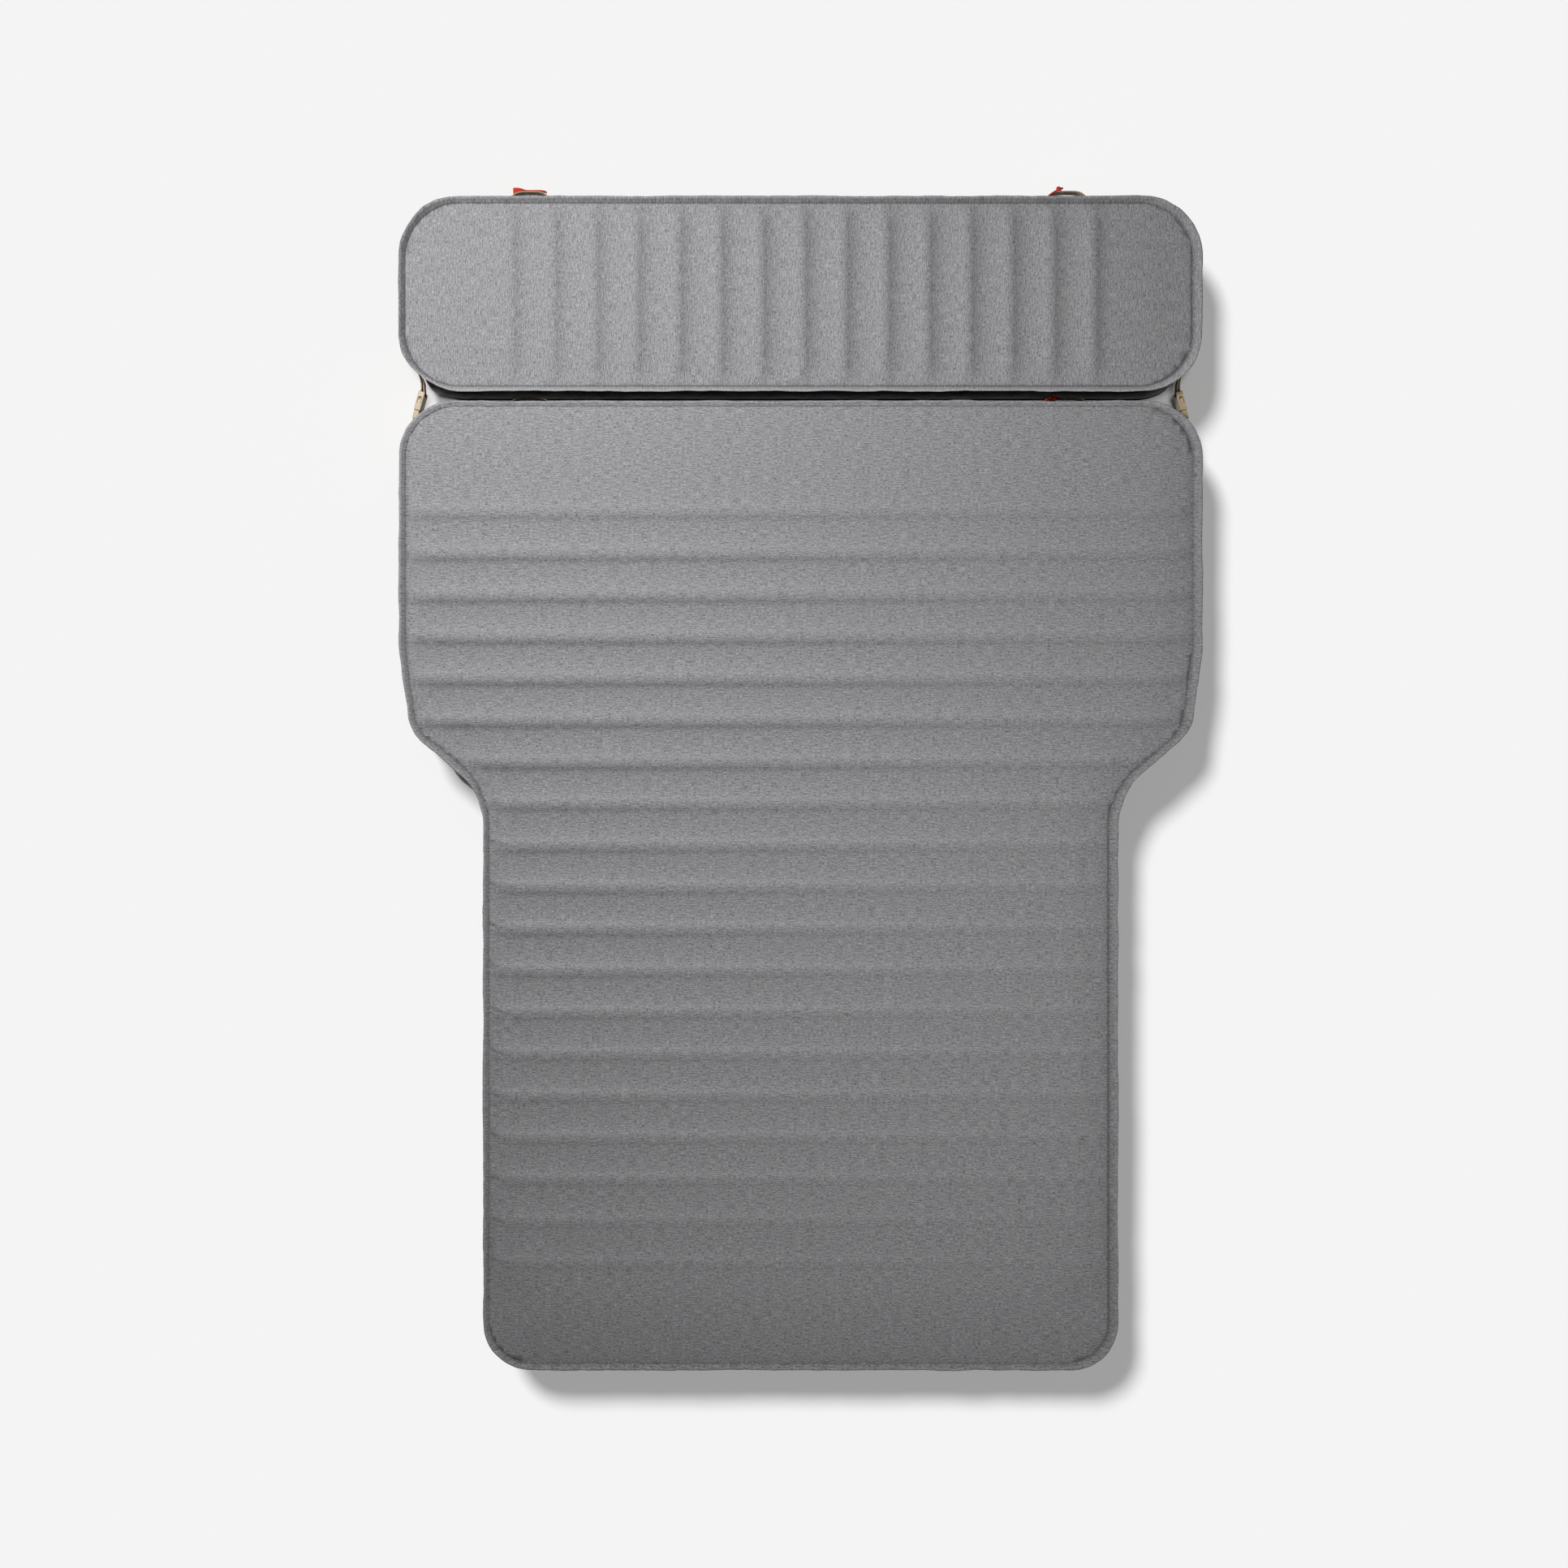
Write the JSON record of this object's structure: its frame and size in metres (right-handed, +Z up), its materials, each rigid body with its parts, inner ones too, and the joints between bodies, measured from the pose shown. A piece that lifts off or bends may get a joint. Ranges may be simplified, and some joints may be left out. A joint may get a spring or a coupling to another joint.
{
  "type": "self-inflating car mattress",
  "caption": "Thick grey T-shaped foam-cored sleeping mat with cross channels, a buckled-on head pad, carry loops, red pulls and twist valves.",
  "frame": {"origin": "middle of the part's bounding box, on the ground that it lies on", "axes": "+X across the bed to the right seen from the foot, +Y from the foot to the head end, +Z up"},
  "size_m": [1.341, 1.9868, 0.1],
  "materials": {
    "grey_knit": "matte",
    "black_coated": "satin",
    "foam": "matte",
    "tan_webbing": "matte",
    "red_cord": "satin",
    "tan_acetal": "satin",
    "black_nylon": "satin",
    "silicone": "matte"
  },
  "bodies": {
    "main_pad": {"main_foam_core": "foam", "main_top_cover": "grey_knit", "main_edge_flange": "grey_knit", "main_side_wall": "black_coated", "main_base_cover": "black_coated", "main_loop_left": "tan_webbing", "main_loop_right": "tan_webbing", "main_pull_cord": "red_cord", "main_pull_knot": "red_cord", "main_strap_left": "tan_webbing", "main_strap_right": "tan_webbing", "main_valve_seat": "black_nylon"},
    "head_pad": {"head_foam_core": "foam", "head_top_cover": "grey_knit", "head_edge_flange": "grey_knit", "head_side_wall": "black_coated", "head_base_cover": "black_coated", "head_loop_left": "tan_webbing", "head_loop_right": "tan_webbing", "head_pull_tab": "red_cord", "head_pull_cord": "red_cord", "head_pull_knot": "red_cord", "head_strap_left": "tan_webbing", "head_strap_right": "tan_webbing", "head_valve_seat": "black_nylon", "left_buckle_socket": "tan_acetal", "left_buckle_plug": "tan_acetal", "right_buckle_socket": "tan_acetal", "right_buckle_plug": "tan_acetal"},
    "left_upper_arm": {"left_buckle_arm_upper": "tan_acetal"},
    "left_lower_arm": {"left_buckle_arm_lower": "tan_acetal"},
    "right_upper_arm": {"right_buckle_arm_upper": "tan_acetal"},
    "right_lower_arm": {"right_buckle_arm_lower": "tan_acetal"},
    "main_collar": {"main_valve_collar": "black_nylon", "main_valve_flap": "silicone"},
    "main_cap": {"main_valve_cap": "black_nylon"},
    "head_collar": {"head_valve_collar": "black_nylon", "head_valve_flap": "silicone"},
    "head_cap": {"head_valve_cap": "black_nylon"}
  },
  "joints": [
    {"name": "head_tilt", "type": "hinge", "parent": "main_pad", "child": "head_pad", "pos_m": [0, 0.58011, 0.0525], "axis": [1, 0, 0], "range_deg": [0, 12], "deforming": ["main_strap_left", "main_strap_right"]},
    {"name": "left_arm_upper_squeeze", "type": "hinge", "parent": "head_pad", "child": "left_upper_arm", "pos_m": [-0.64465, 0.61841, 0.062], "axis": [-0.9659, 0.2588, 0], "range_deg": [0, 9], "stiffness_Nm_per_rad": 0.4},
    {"name": "left_arm_lower_squeeze", "type": "hinge", "parent": "head_pad", "child": "left_lower_arm", "pos_m": [-0.64465, 0.61841, 0.043], "axis": [0.9659, -0.2588, 0], "range_deg": [0, 9], "stiffness_Nm_per_rad": 0.4},
    {"name": "right_arm_upper_squeeze", "type": "hinge", "parent": "head_pad", "child": "right_upper_arm", "pos_m": [0.64465, 0.61841, 0.062], "axis": [-0.9659, -0.2588, 0], "range_deg": [0, 9], "stiffness_Nm_per_rad": 0.4},
    {"name": "right_arm_lower_squeeze", "type": "hinge", "parent": "head_pad", "child": "right_lower_arm", "pos_m": [0.64465, 0.61841, 0.043], "axis": [0.9659, 0.2588, 0], "range_deg": [0, 9], "stiffness_Nm_per_rad": 0.4},
    {"name": "main_valve_turn", "type": "hinge", "parent": "main_pad", "child": "main_collar", "pos_m": [0.25, -0.98155, 0.045], "axis": [0, -1, 0], "range_deg": [0, 90]},
    {"name": "main_cap_flip", "type": "hinge", "parent": "main_collar", "child": "main_cap", "pos_m": [0.25, -0.99065, 0.064], "axis": [-1, 0, 0], "range_deg": [0, 120]},
    {"name": "head_valve_turn", "type": "hinge", "parent": "head_pad", "child": "head_collar", "pos_m": [0.25, 0.96205, 0.045], "axis": [0, 1, 0], "range_deg": [0, 90]},
    {"name": "head_cap_flip", "type": "hinge", "parent": "head_collar", "child": "head_cap", "pos_m": [0.25, 0.97115, 0.064], "axis": [1, 0, 0], "range_deg": [0, 120]}
  ]
}
